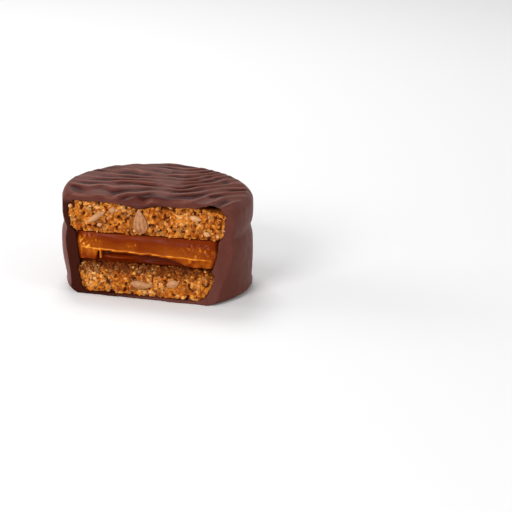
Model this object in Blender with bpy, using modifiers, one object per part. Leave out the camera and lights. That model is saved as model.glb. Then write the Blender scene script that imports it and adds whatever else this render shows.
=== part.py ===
"""Alfajor cookie with its front cut away.

Two seeded biscuits hold a layer of milk caramel, and a coat of dark chocolate wraps all three.
The cookie stands on its flat base. The origin is on the base, at the centre of the round cookie
that it was before the cut. The cut faces -Y. Units are metres, +Z is up.
"""

import math

import bmesh
import bpy
from mathutils import Vector, noise

MM = 0.001

# Driving dimensions
RADIUS = 28.9 * MM              # coated side at its widest
BASE_COAT = 1.0 * MM            # chocolate under the lower biscuit
LOWER_BISCUIT = 8.2 * MM        # thickness of each layer
FILLING = 9.2 * MM
UPPER_BISCUIT = 9.0 * MM
TOP_COAT = 2.4 * MM             # chocolate over the upper biscuit, at its middle
SIDE_COAT = 1.5 * MM            # chocolate beside the biscuits
FILLING_INSET = 1.3 * MM        # the caramel stops this far inside the biscuits' edge
CROWN = 0.7 * MM                # rise of the top towards its middle
CLEARANCE = 0.3 * MM            # gap that neighbouring solids keep
UPPER_WEDGE = 0.04              # the upper biscuit grows this much thicker towards +X

# Heights that follow from them
LOWER_TOP = BASE_COAT + LOWER_BISCUIT
FILLING_TOP = LOWER_TOP + FILLING
UPPER_TOP = FILLING_TOP + UPPER_BISCUIT
RIM_HEIGHT = UPPER_TOP + TOP_COAT
BISCUIT_RADIUS = RADIUS - SIDE_COAT
FILLING_RADIUS = BISCUIT_RADIUS - FILLING_INSET

# Roundings of the turned shapes
SHOULDER = 3.4 * MM
TOP_DROP = 0.2 * MM             # the rippled top meets the shoulder this far below the rim
FOOT = 1.8 * MM
BISCUIT_EDGE = 2.2 * MM
FILLING_EDGE = 1.6 * MM
WAIST_DEPTH = 0.7 * MM          # groove in the side at the upper biscuit's lower edge
WAIST_HEIGHT = FILLING_TOP + 0.8 * MM
WAIST_SPREAD = 2.0 * MM

# Ripples that blown air left in the wet chocolate on top
RIPPLE_PITCH = 4.5 * MM
RIPPLE_HEIGHT = 0.4 * MM
RIPPLE_STRETCH = 14.0 * MM      # ripples keep their course along X over this length
RIPPLE_BEND = 30.0              # 1/m, how fast the ripples sweep back on the right
RIPPLE_BEND_FROM = 4.0 * MM
RIPPLE_BEND_TO = 20.0 * MM
RIPPLE_WIDEN = 0.28             # share by which their pitch grows over that stretch
RIPPLE_ORIGIN = 18.0 * MM       # they widen away from a line this far in front of the centre

# How the soft cookie has settled out of true
TOP_TILT = math.radians(0.6)    # the top sinks towards +X
PINCH = 2.0 * MM                # the foot is squeezed in on the left
PINCH_HEIGHT = 13.0 * MM
PINCH_ANGLE = math.radians(190.0)
PINCH_SPREAD = math.radians(38.0)
FOLD_DEPTH = 0.25 * MM          # slow waves round the side
SINK_LEFT = 2.2 * MM            # the top sinks towards the cut, most on the left
SINK_RIGHT = 0.6 * MM
SINK_FROM = -9.0 * MM
SINK_TO = 4.0 * MM
SINK_SPAN = 9.0 * MM

# Where chocolate pooled beside the layers at both ends of the cut
POOL_RIGHT = 1.5 * MM
POOL_RIGHT_ANGLE = math.radians(320.0)
POOL_RIGHT_SPREAD = math.radians(30.0)
POOL_LEFT = 0.8 * MM            # only beside the lower biscuit
POOL_LEFT_ANGLE = math.radians(220.0)
POOL_LEFT_SPREAD = math.radians(25.0)

# The knife cut: its distance in front of the centre, at the base and per metre of height
CUT_AT_BASE = 18.65 * MM
CUT_LEAN = 0.242
CUT_TWIST_AT_BASE = 0.045
CUT_TWIST_SWING = 0.115
CUT_TWIST_HEIGHT = 25.0 * MM

# Front of each layer against the knife cut
TOP_REACH = 0.7 * MM            # the top coat overhangs the upper biscuit
TOP_LEAN_LEFT = 0.4             # the top coat's edge leans back by this much per metre of height
TOP_LEAN_RIGHT = 0.9
CRUMB_RELIEF = 0.5 * MM         # roughness of the broken biscuit
CRUMB_SIZE = 2.6 * MM
BISCUIT_SETBACK = 0.4 * MM
CRUMBLED_EDGE = 1.6 * MM        # the lower biscuit has lost its upper front edge
CRUMBLED_FROM = 6.4 * MM
LIP_HEIGHT = 13.6 * MM          # ridge that the knife drew out of the caramel, at the middle
LIP_SLOPE = 0.052               # the ridge drops towards +X
LIP_REACH = 1.2 * MM            # the ridge stands this far in front of the cut
LIP_THICKNESS = 0.7 * MM
UNDERCUT = 3.0 * MM             # hollow under the ridge, between the two solid ends
UNDERCUT_LEFT = -14.0 * MM
UNDERCUT_RIGHT = 10.0 * MM
UNDERCUT_BLEND = 4.0 * MM

# Facets
COATING_STEPS = 72
CAVITY_STEPS = 48
LAYER_STEPS = 48
WALL_RINGS = 9
RIPPLE_ROWS = 48
RIPPLE_COLUMNS = 24
KNIFE_COLUMNS = 30
ARC_STEPS = 4
KNIFE_DEPTH = 45.0 * MM         # how far the knife blocks reach towards -Y
BLOCK_SPAN = 66.0 * MM          # width of every cutting block
OVERRUN = 4.0 * MM              # how far the blocks reach past the cookie
WELD = 0.01 * MM


def smooth_step(low, high, value):
    """0 below low, 1 above high, with a soft change between."""
    t = min(1.0, max(0.0, (value - low) / (high - low)))
    return t * t * (3.0 - 2.0 * t)


def bell(value, center, spread):
    """1 at the center, falling to nothing a few spreads away."""
    offset = (value - center) / spread
    return math.exp(-offset * offset)


def clear_scene():
    """Removes whatever the start-up file holds."""
    for obj in list(bpy.data.objects):
        bpy.data.objects.remove(obj)


def new_collection(name):
    """An empty collection in the scene."""
    collection = bpy.data.collections.new(name)
    bpy.context.scene.collection.children.link(collection)
    return collection


def finish(name, color, roughness, metallic=0.0):
    """A Principled material with one colour, given as linear RGB."""
    material = bpy.data.materials.new(name)
    material.use_nodes = True
    shader = material.node_tree.nodes["Principled BSDF"]
    shader.inputs["Base Color"].default_value = (*color, 1.0)
    shader.inputs["Roughness"].default_value = roughness
    shader.inputs["Metallic"].default_value = metallic
    return material


# ---------------------------------------------------------------- turned profiles


def arc(center_r, center_z, radius_r, radius_z, start, end, steps):
    """Points (r, z) on a quarter of an ellipse, from angle start to end in degrees, 90 being up."""
    points = []
    for i in range(steps + 1):
        angle = math.radians(start + (end - start) * i / steps)
        points.append(
            (center_r + radius_r * math.cos(angle), center_z + radius_z * math.sin(angle))
        )
    return points


def side_radius(z):
    """Radius of the coated side at height z, with the waist above the caramel."""
    return RADIUS - WAIST_DEPTH * bell(z, WAIST_HEIGHT, WAIST_SPREAD)


def coating_profile():
    """Outline of the coated cookie, from the middle of the top down to the middle of the base.

    The top is left too high: the ripple block takes it down to its real shape.
    """
    flat = RADIUS - SHOULDER
    points = [(0.0, RIM_HEIGHT + OVERRUN / 2.0), (flat, RIM_HEIGHT + OVERRUN / 2.0)]
    points += arc(flat, RIM_HEIGHT - SHOULDER, SHOULDER, SHOULDER, 90, 0, ARC_STEPS + 1)
    top_of_wall = RIM_HEIGHT - SHOULDER
    for i in range(1, WALL_RINGS):
        z = top_of_wall + (FOOT - top_of_wall) * i / WALL_RINGS
        points.append((side_radius(z), z))
    points += arc(RADIUS - FOOT, FOOT, FOOT, FOOT, 0, -90, ARC_STEPS)
    points.append((0.0, 0.0))
    return points


def layer_profile(radius, low, high, edge):
    """Outline of a flat round layer with rounded edges, from its top to its underside."""
    points = [(0.0, high)]
    points += arc(radius - edge, high - edge, edge, edge, 90, 0, ARC_STEPS)
    points += arc(radius - edge, low + edge, edge, edge, 0, -90, ARC_STEPS)
    points.append((0.0, low))
    return points


def cavity_profile():
    """Outline of the space inside the coating: wide at each biscuit, narrow at the caramel."""
    edge = BISCUIT_EDGE
    wide = BISCUIT_RADIUS
    narrow = FILLING_RADIUS
    points = [(0.0, UPPER_TOP)]
    points += arc(wide - edge, UPPER_TOP - edge, edge, edge, 90, 0, ARC_STEPS)
    points += arc(wide - edge, FILLING_TOP + edge, edge, edge, 0, -50, ARC_STEPS - 1)
    points += [(narrow, FILLING_TOP - CLEARANCE), (narrow, LOWER_TOP + CLEARANCE)]
    points += arc(wide - edge, LOWER_TOP - edge, edge, edge, 50, 0, ARC_STEPS - 1)
    points += arc(wide - edge, BASE_COAT + edge, edge, edge, 0, -90, ARC_STEPS)
    points.append((0.0, BASE_COAT))
    return points


def turned(name, profile, steps, collection):
    """A solid of revolution about Z, made a mesh so that it can be reshaped and cut."""
    mesh = bpy.data.meshes.new(name + "_outline")
    edges = [(i, i + 1) for i in range(len(profile) - 1)]
    mesh.from_pydata([(r, 0.0, z) for r, z in profile], edges, [])
    outline = bpy.data.objects.new(name + "_outline", mesh)
    collection.objects.link(outline)
    screw = outline.modifiers.new("Turn", "SCREW")
    screw.axis = "Z"
    screw.steps = steps
    screw.render_steps = steps
    screw.use_merge_vertices = True
    screw.merge_threshold = WELD
    graph = bpy.context.evaluated_depsgraph_get()
    solid_mesh = bpy.data.meshes.new_from_object(outline.evaluated_get(graph))
    solid_mesh.name = name
    solid = bpy.data.objects.new(name, solid_mesh)
    collection.objects.link(solid)
    bpy.data.objects.remove(outline)
    bpy.data.meshes.remove(mesh)
    return solid


# ---------------------------------------------------------------- shapes of the real, uneven cookie


def ripple(x, y):
    """Height of the air-blown ripples on top, at most RIPPLE_HEIGHT, with crests sharper than troughs."""
    swept = y + RIPPLE_ORIGIN - RIPPLE_BEND * max(0.0, x - RIPPLE_BEND_FROM) ** 2
    swept *= 1.0 - RIPPLE_WIDEN * smooth_step(RIPPLE_BEND_FROM, RIPPLE_BEND_TO, x)
    along = x / RIPPLE_STRETCH
    across = y / (2.0 * RIPPLE_PITCH)
    wander = 0.55 * noise.noise(Vector((along, across, 0.3)))
    wave = math.sin(math.pi * (swept / RIPPLE_PITCH + wander))
    strength = 0.65 + 0.35 * noise.noise(Vector((along, across, 5.1)))
    return RIPPLE_HEIGHT * strength * (1.0 - 1.6 * abs(wave))


def from_left(x, left, right):
    """A value that changes from left to right along the top coat's edge."""
    return left + (right - left) * smooth_step(SINK_FROM, SINK_TO, x)


def sink(x, y):
    """How far the top has sunk at a place near the cut."""
    behind = y + knife_reach(x, UPPER_TOP) + TOP_REACH
    near = 1.0 - min(1.0, max(0.0, behind / SINK_SPAN))
    return from_left(x, SINK_LEFT, SINK_RIGHT) * near * near


def top_height(x, y):
    """Height of the coated top: a low crown with ripples that fade out before the shoulder."""
    flat = RADIUS - SHOULDER
    drop_share = 1.0 - TOP_DROP / SHOULDER
    edge = flat + SHOULDER * math.sqrt(1.0 - drop_share**2)
    reach = math.hypot(x, y)
    fade = 1.0 - smooth_step(flat - SHOULDER, flat, reach)
    crown = CROWN * (1.0 - (reach / edge) ** 2)
    sunk = sink(x, y) * (1.0 - smooth_step(flat, edge, reach))
    return RIM_HEIGHT - TOP_DROP + crown - sunk + fade * ripple(x, y)


def wedged(point):
    """Moves a point in or under the upper biscuit, whose top rises towards +X."""
    share = smooth_step(FILLING_TOP, UPPER_TOP, point.z)
    return Vector((point.x, point.y, point.z + UPPER_WEDGE * point.x * share))


def settled(point):
    """Moves a point of the true round cookie to where it lies in the settled one.

    The move is smooth through the whole cookie, so neighbouring layers keep their gaps.
    """
    x, y, z = point
    reach = math.hypot(x, y)
    if reach < WELD:
        return point
    angle = math.atan2(y, x) % (2.0 * math.pi)
    share = reach / RADIUS
    height = z / RIM_HEIGHT
    fold = FOLD_DEPTH * (
        math.cos(3.0 * angle + 0.8 + 1.5 * height) + 0.6 * math.cos(7.0 * angle - 2.2 * height)
    )
    low = 1.0 - smooth_step(0.0, PINCH_HEIGHT, z)
    pinch = PINCH * low * bell(angle, PINCH_ANGLE, PINCH_SPREAD)
    factor = 1.0 + (fold - pinch) * share**2 / reach
    drop = math.tan(TOP_TILT) * x * height
    return Vector((x * factor, y * factor, z - drop))


def crowded(point):
    """Moves a point inside the coating away from the pooled chocolate at the ends of the cut."""
    reach = math.hypot(point.x, point.y)
    if reach < WELD:
        return point
    angle = math.atan2(point.y, point.x) % (2.0 * math.pi)
    right = POOL_RIGHT * bell(angle, POOL_RIGHT_ANGLE, POOL_RIGHT_SPREAD)
    right *= 1.0 - 0.7 * smooth_step(FILLING_TOP + 1.0 * MM, UPPER_TOP, point.z)
    left = POOL_LEFT * bell(angle, POOL_LEFT_ANGLE, POOL_LEFT_SPREAD)
    left *= 1.0 - smooth_step(LOWER_TOP - 3.0 * MM, LOWER_TOP, point.z)
    share = reach / RADIUS
    factor = 1.0 - (right + left) * share**2 / reach
    return Vector((point.x * factor, point.y * factor, point.z))


def inside(point):
    """Moves a point of the true round layers to where it lies in the settled cookie."""
    return settled(wedged(crowded(point)))


def reshape(obj, move):
    """Moves every vertex of an object's mesh by a function of its place."""
    for vertex in obj.data.vertices:
        vertex.co = move(vertex.co.copy())


# ---------------------------------------------------------------- the cut front


def knife_reach(x, z):
    """How far in front of the centre the knife passed, at x and height z."""
    twist = CUT_TWIST_SWING * math.sin(math.pi * z / CUT_TWIST_HEIGHT) - CUT_TWIST_AT_BASE
    return CUT_AT_BASE - CUT_LEAN * z - twist * x


def coating_front(x, z):
    """The chocolate snapped close to the knife. Over the upper biscuit it reaches out and leans back."""
    wave = noise.noise(Vector((x * 160.0, 2.0, z * 160.0)))
    reach = TOP_REACH * smooth_step(UPPER_TOP - 1.5 * MM, UPPER_TOP, z)
    over = max(0.0, z - UPPER_TOP - UPPER_WEDGE * x)
    lean = from_left(x, TOP_LEAN_LEFT, TOP_LEAN_RIGHT) * over
    return knife_reach(x, z) + 0.4 * MM * wave + reach - lean


def crumb(x, z, seed):
    """Roughness of broken biscuit, from -CRUMB_RELIEF to CRUMB_RELIEF."""
    place = Vector((x / CRUMB_SIZE, seed, z / CRUMB_SIZE))
    return CRUMB_RELIEF * noise.noise(place)


def upper_biscuit_front(x, z):
    """Broken face of the upper biscuit."""
    return knife_reach(x, z) - BISCUIT_SETBACK + crumb(x, z, 1.7)


def lower_biscuit_front(x, z):
    """Broken face of the lower biscuit, whose upper edge has crumbled away."""
    worn = CRUMBLED_EDGE * smooth_step(CRUMBLED_FROM, LOWER_TOP, z)
    return knife_reach(x, z) - BISCUIT_SETBACK - worn + crumb(x, z, 8.3)


def filling_front(x, z):
    """Face of the caramel: a slope down to a drawn-out ridge, with a hollow under its middle."""
    ridge = LIP_HEIGHT - LIP_SLOPE * x
    edge = knife_reach(x, z)
    if z >= ridge:
        slope = smooth_step(ridge, FILLING_TOP, z)
        return edge + LIP_REACH * (1.0 - slope) - BISCUIT_SETBACK * slope
    middle = smooth_step(UNDERCUT_LEFT - UNDERCUT_BLEND, UNDERCUT_LEFT, x)
    middle *= 1.0 - smooth_step(UNDERCUT_RIGHT, UNDERCUT_RIGHT + UNDERCUT_BLEND, x)
    under = smooth_step(0.0, LIP_THICKNESS, ridge - z)
    end_slope = smooth_step(0.0, ridge - LOWER_TOP, ridge - z)
    hollow = UNDERCUT * middle * under + LIP_REACH * end_slope
    return edge + LIP_REACH - hollow


def block(name, face_point, far_point, rows, columns, collection):
    """A closed cutting block with one shaped face.

    Args:
        face_point: function of x and a row's value that gives a point of the shaped face.
        far_point: function that takes a point of that face to the far side of the block.
        rows: values at the rows of the face's grid.
        columns: how many grid steps there are along X.
    """
    bm = bmesh.new()
    grid = bmesh.ops.create_grid(bm, x_segments=columns, y_segments=len(rows) - 1, size=0.5)
    for vertex in grid["verts"]:
        row = round((vertex.co.y + 0.5) * (len(rows) - 1))
        vertex.co = face_point(vertex.co.x * BLOCK_SPAN, rows[row])
    grown = bmesh.ops.extrude_face_region(bm, geom=list(bm.faces), use_keep_orig=True)
    for item in grown["geom"]:
        if isinstance(item, bmesh.types.BMVert):
            item.co = far_point(item.co)
    bmesh.ops.recalc_face_normals(bm, faces=bm.faces)
    mesh = bpy.data.meshes.new(name)
    bm.to_mesh(mesh)
    bm.free()
    cutter = bpy.data.objects.new(name, mesh)
    collection.objects.link(cutter)
    cutter.hide_render = True
    cutter.display_type = "WIRE"
    return cutter


def knife_block(name, front, rows, collection):
    """A block in front of the cookie whose back face is the cut surface y = -front(x, z)."""

    def face_point(x, z):
        return Vector((x, -front(x, z), z))

    def far_point(point):
        return Vector((point.x, -KNIFE_DEPTH, point.z))

    return block(name, face_point, far_point, rows, KNIFE_COLUMNS, collection)


def ripple_block(name, collection):
    """A block over the cookie whose underside is the rippled top."""

    def face_point(x, y):
        return settled(Vector((x, y, top_height(x, y))))

    def far_point(point):
        return Vector((point.x, point.y, RIM_HEIGHT + 2.0 * OVERRUN))

    front = -CUT_AT_BASE
    back = RADIUS - SHOULDER
    outside = RADIUS + OVERRUN
    rows = [-outside] + even_rows(front, back, RIPPLE_ROWS) + [outside]
    return block(name, face_point, far_point, rows, RIPPLE_COLUMNS, collection)


def even_rows(low, high, count):
    """Evenly spaced heights from low to high."""
    return [low + (high - low) * i / count for i in range(count + 1)]


def cut_with(obj, cutter, label):
    """Takes the cutter's volume out of the object."""
    boolean = obj.modifiers.new(label, "BOOLEAN")
    boolean.operation = "DIFFERENCE"
    boolean.object = cutter
    boolean.solver = "EXACT"


# ---------------------------------------------------------------- the pieces


def make_coating(parts, cutters):
    """The chocolate coat: the whole outer form, less the space for the layers and the cut."""
    coating = turned("chocolate_coating", coating_profile(), COATING_STEPS, parts)
    reshape(coating, settled)
    cavity = turned("cavity_cutter", cavity_profile(), CAVITY_STEPS, cutters)
    reshape(cavity, inside)
    cavity.hide_render = True
    cavity.display_type = "WIRE"
    rows = even_rows(-OVERRUN, UPPER_TOP - 3.0 * MM, 11)
    rows += even_rows(UPPER_TOP - 2.0 * MM, RIM_HEIGHT + OVERRUN, 12)
    knife = knife_block("coating_knife", coating_front, rows, cutters)
    cut_with(coating, ripple_block("ripple_cutter", cutters), "Rippled top")
    cut_with(coating, cavity, "Cavity")
    cut_with(coating, knife, "Knife cut")
    coating.data.materials.append(finish("dark_chocolate", (0.075, 0.027, 0.021), 0.4))
    return coating


def make_layer(name, radius, low, high, edge, front, row_count, material, parts, cutters):
    """One layer inside the coating, half a clearance in from its neighbours, cut at its front."""
    gap = CLEARANCE / 2.0
    profile = layer_profile(radius - CLEARANCE, low + gap, high - gap, edge)
    layer = turned(name, profile, LAYER_STEPS, parts)
    reshape(layer, inside)
    rows = even_rows(low - OVERRUN / 2.0, high + OVERRUN / 2.0, row_count)
    knife = knife_block(name + "_knife", front, rows, cutters)
    cut_with(layer, knife, "Knife cut")
    layer.data.materials.append(material)
    return layer


def main():
    """Builds the cookie."""
    clear_scene()
    parts = new_collection("alfajor_cookie")
    cutters = new_collection("cutters")
    biscuit = finish("seeded_biscuit", (0.42, 0.16, 0.04), 0.85)
    caramel = finish("milk_caramel", (0.26, 0.045, 0.003), 0.25)
    make_coating(parts, cutters)
    make_layer(
        "lower_biscuit", BISCUIT_RADIUS, BASE_COAT + CLEARANCE / 2.0, LOWER_TOP, BISCUIT_EDGE,
        lower_biscuit_front, 8, biscuit, parts, cutters,
    )
    make_layer(
        "caramel_filling", FILLING_RADIUS, LOWER_TOP, FILLING_TOP, FILLING_EDGE,
        filling_front, 18, caramel, parts, cutters,
    )
    make_layer(
        "upper_biscuit", BISCUIT_RADIUS, FILLING_TOP, UPPER_TOP - CLEARANCE / 2.0, BISCUIT_EDGE,
        upper_biscuit_front, 8, biscuit, parts, cutters,
    )


main()
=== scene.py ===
"""Looks of the alfajor cookie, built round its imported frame.

A cut alfajor: a coat of satin dark chocolate round two seeded biscuits and a layer of milk caramel.
Each class makes one sub-assembly, and each finish is a small frozen dataclass. Units are metres,
+Z is up and the cut faces -Y, as in the frame.
"""

import logging
import math
from collections.abc import Callable, Iterable
from dataclasses import dataclass
from enum import Enum

import bmesh
import bpy
from mathutils import Matrix, Vector, noise
from mathutils.kdtree import KDTree


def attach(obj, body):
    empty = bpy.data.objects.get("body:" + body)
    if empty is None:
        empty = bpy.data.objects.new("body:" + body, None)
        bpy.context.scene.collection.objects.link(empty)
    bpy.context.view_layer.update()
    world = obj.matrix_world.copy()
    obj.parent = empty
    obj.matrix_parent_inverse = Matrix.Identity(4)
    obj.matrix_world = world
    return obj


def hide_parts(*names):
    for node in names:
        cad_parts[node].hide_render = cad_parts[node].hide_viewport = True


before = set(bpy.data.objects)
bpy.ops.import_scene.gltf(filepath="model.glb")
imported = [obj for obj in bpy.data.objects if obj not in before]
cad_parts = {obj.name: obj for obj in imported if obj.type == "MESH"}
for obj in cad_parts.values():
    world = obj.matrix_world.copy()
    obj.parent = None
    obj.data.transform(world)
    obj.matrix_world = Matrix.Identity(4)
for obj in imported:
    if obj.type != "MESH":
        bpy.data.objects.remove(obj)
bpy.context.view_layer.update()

MM = 0.001
NEAR_AXIS = 0.01 * MM
KNIFE_SPAN = 66.0 * MM
KNIFE_DEPTH = 45.0 * MM
FLOOR_HALF = 1.5
BODY = "root"

logging.basicConfig(level=logging.INFO, format="%(message)s")
log = logging.getLogger("alfajor")

Front = Callable[[float, float], float]
Profile = list[tuple[float, float]]
Color = tuple[float, float, float, float]


# ---------------------------------------------------------------- small tools


def srgb(code: str) -> Color:
    """Turns an sRGB hex colour into linear RGBA.

    Args:
        code: six hex digits, with or without a leading hash.

    Returns:
        Linear red, green, blue and an alpha of 1.
    """
    digits = code.lstrip("#")
    channels = []
    for i in (0, 2, 4):
        value = int(digits[i : i + 2], 16) / 255.0
        channels.append(value / 12.92 if value <= 0.04045 else ((value + 0.055) / 1.055) ** 2.4)
    return (channels[0], channels[1], channels[2], 1.0)


def smooth_step(low: float, high: float, value: float) -> float:
    """0 below low, 1 above high, with a soft change between."""
    t = min(1.0, max(0.0, (value - low) / (high - low)))
    return t * t * (3.0 - 2.0 * t)


def bell(value: float, center: float, spread: float) -> float:
    """1 at the center, falling to nothing a few spreads away."""
    offset = (value - center) / spread
    return math.exp(-offset * offset)


def wave_noise(x: float, y: float, z: float, size: float) -> float:
    """Smooth noise from about -1 to 1 whose lumps are about one size across."""
    return noise.noise(Vector((x / size, y / size, z / size)))


def add_node(
    tree: bpy.types.NodeTree,
    kind: str,
    settings: dict | None = None,
    links: dict | None = None,
) -> bpy.types.Node:
    """Adds a node with its settings and its incoming links.

    Args:
        tree: the node tree that gets the node.
        kind: the node's type name.
        settings: values by property name, or by input name or number. "stops" fills a colour ramp.
        links: (node, output name or number) by input name or number.

    Returns:
        The new node.
    """
    node = tree.nodes.new(kind)
    for name, value in (settings or {}).items():
        if name == "stops":
            ramp = node.color_ramp
            while len(ramp.elements) < len(value):
                ramp.elements.new(0.5)
            for element, (place, color) in zip(ramp.elements, value):
                element.position = place
                element.color = color
        elif isinstance(name, str) and hasattr(node, name):
            setattr(node, name, value)
        else:
            node.inputs[name].default_value = value
    for name, (source, output) in (links or {}).items():
        tree.links.new(source.outputs[output], node.inputs[name])
    return node


def new_material(name: str) -> tuple[bpy.types.Material, bpy.types.NodeTree]:
    """An empty node material and its tree."""
    material = bpy.data.materials.new(name)
    material.use_nodes = True
    material.node_tree.nodes.clear()
    return material, material.node_tree


Output = tuple[bpy.types.Node, str | int]
Span = tuple[float, float]


def noise_node(
    tree: bpy.types.NodeTree, place: Output, size: float, detail: float, settings: dict | None = None
) -> bpy.types.Node:
    """A noise texture whose lumps are about one size across."""
    values = {"Scale": 1.0 / size, "Detail": detail, **(settings or {})}
    return add_node(tree, "ShaderNodeTexNoise", values, {"Vector": place})


def span_node(
    tree: bpy.types.NodeTree, source: bpy.types.Node, span: Span, new_span: Span
) -> bpy.types.Node:
    """Stretches a noise's factor from one span to a new one."""
    values = {"From Min": span[0], "From Max": span[1], "To Min": new_span[0], "To Max": new_span[1]}
    return add_node(tree, "ShaderNodeMapRange", values, {"Value": (source, "Fac")})


def stored_node(tree: bpy.types.NodeTree, name: str) -> bpy.types.Node:
    """Reads a number that is stored on the vertices."""
    return add_node(tree, "ShaderNodeAttribute", {"attribute_name": name})


def math_node(
    tree: bpy.types.NodeTree, operation: str, first: Output, second: Output
) -> bpy.types.Node:
    """Joins two numbers by an operation."""
    return add_node(tree, "ShaderNodeMath", {"operation": operation}, {0: first, 1: second})


def ramp_node(
    tree: bpy.types.NodeTree, shade: bpy.types.Node, stops: tuple[tuple[float, str], ...]
) -> bpy.types.Node:
    """Colours a number by a ramp of sRGB codes."""
    colors = [(place, srgb(code)) for place, code in stops]
    return add_node(tree, "ShaderNodeValToRGB", {"stops": colors}, {"Fac": (shade, "Value")})


def toward_node(
    tree: bpy.types.NodeTree, share: bpy.types.Node, color: Output, code: str
) -> bpy.types.Node:
    """Shifts a colour by a stored share towards a fixed sRGB code."""
    values = {"data_type": "RGBA", 7: srgb(code)}
    return add_node(tree, "ShaderNodeMix", values, {0: (share, "Fac"), 6: color})


def bump_node(
    tree: bpy.types.NodeTree, height: bpy.types.Node, strength: float, distance: float
) -> bpy.types.Node:
    """Turns a noise into a faint relief of the shading."""
    values = {"Strength": strength, "Distance": distance}
    return add_node(tree, "ShaderNodeBump", values, {"Height": (height, "Fac")})


def add_surface(tree: bpy.types.NodeTree, settings: dict, links: dict) -> None:
    """Ends a material with a Principled shader."""
    shader = add_node(tree, "ShaderNodeBsdfPrincipled", settings, links)
    add_node(tree, "ShaderNodeOutputMaterial", {}, {"Surface": (shader, "BSDF")})


def link_object(name: str, mesh: bpy.types.Mesh) -> bpy.types.Object:
    """Puts a mesh in the scene as an object at the origin."""
    obj = bpy.data.objects.new(name, mesh)
    bpy.context.scene.collection.objects.link(obj)
    return obj


def mesh_object(name: str, points: list[Vector], faces: list[tuple[int, ...]]) -> bpy.types.Object:
    """Makes an object from points and faces, with its normals turned outwards.

    Args:
        name: the object's name.
        points: places of the vertices.
        faces: vertex numbers of each face.

    Returns:
        The linked object.
    """
    mesh = bpy.data.meshes.new(name)
    mesh.from_pydata([tuple(point) for point in points], [], faces)
    bm = bmesh.new()
    bm.from_mesh(mesh)
    bmesh.ops.recalc_face_normals(bm, faces=bm.faces)
    bm.to_mesh(mesh)
    bm.free()
    return link_object(name, mesh)


def discard(obj: bpy.types.Object) -> None:
    """Removes an object and its mesh."""
    mesh = obj.data
    bpy.data.objects.remove(obj)
    bpy.data.meshes.remove(mesh)


def bake(obj: bpy.types.Object) -> None:
    """Replaces an object's mesh by its evaluated one and drops its modifiers."""
    graph = bpy.context.evaluated_depsgraph_get()
    baked = bpy.data.meshes.new_from_object(obj.evaluated_get(graph))
    old = obj.data
    obj.modifiers.clear()
    obj.data = baked
    bpy.data.meshes.remove(old)


def cut_away(obj: bpy.types.Object, cutter: bpy.types.Object) -> None:
    """Takes a closed cutter's volume out of a closed object, and discards the cutter."""
    boolean = obj.modifiers.new("Cut", "BOOLEAN")
    boolean.operation = "DIFFERENCE"
    boolean.object = cutter
    boolean.solver = "MANIFOLD"
    bake(obj)
    discard(cutter)


def set_values(mesh: bpy.types.Mesh, name: str, values: Iterable[float]) -> None:
    """Stores one number for each vertex under an attribute name."""
    attribute = mesh.attributes.new(name, "FLOAT", "POINT")
    attribute.data.foreach_set("value", list(values))


def dress(obj: bpy.types.Object, material: bpy.types.Material, smooth: bool = True) -> None:
    """Gives a finished piece its only material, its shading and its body."""
    obj.data.materials.clear()
    obj.data.materials.append(material)
    if smooth:
        obj.data.shade_smooth()
    else:
        obj.data.shade_flat()
    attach(obj, BODY)
    log.info("%s: %d faces", obj.name, len(obj.data.polygons))


# ---------------------------------------------------------------- the cookie's true form


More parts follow.
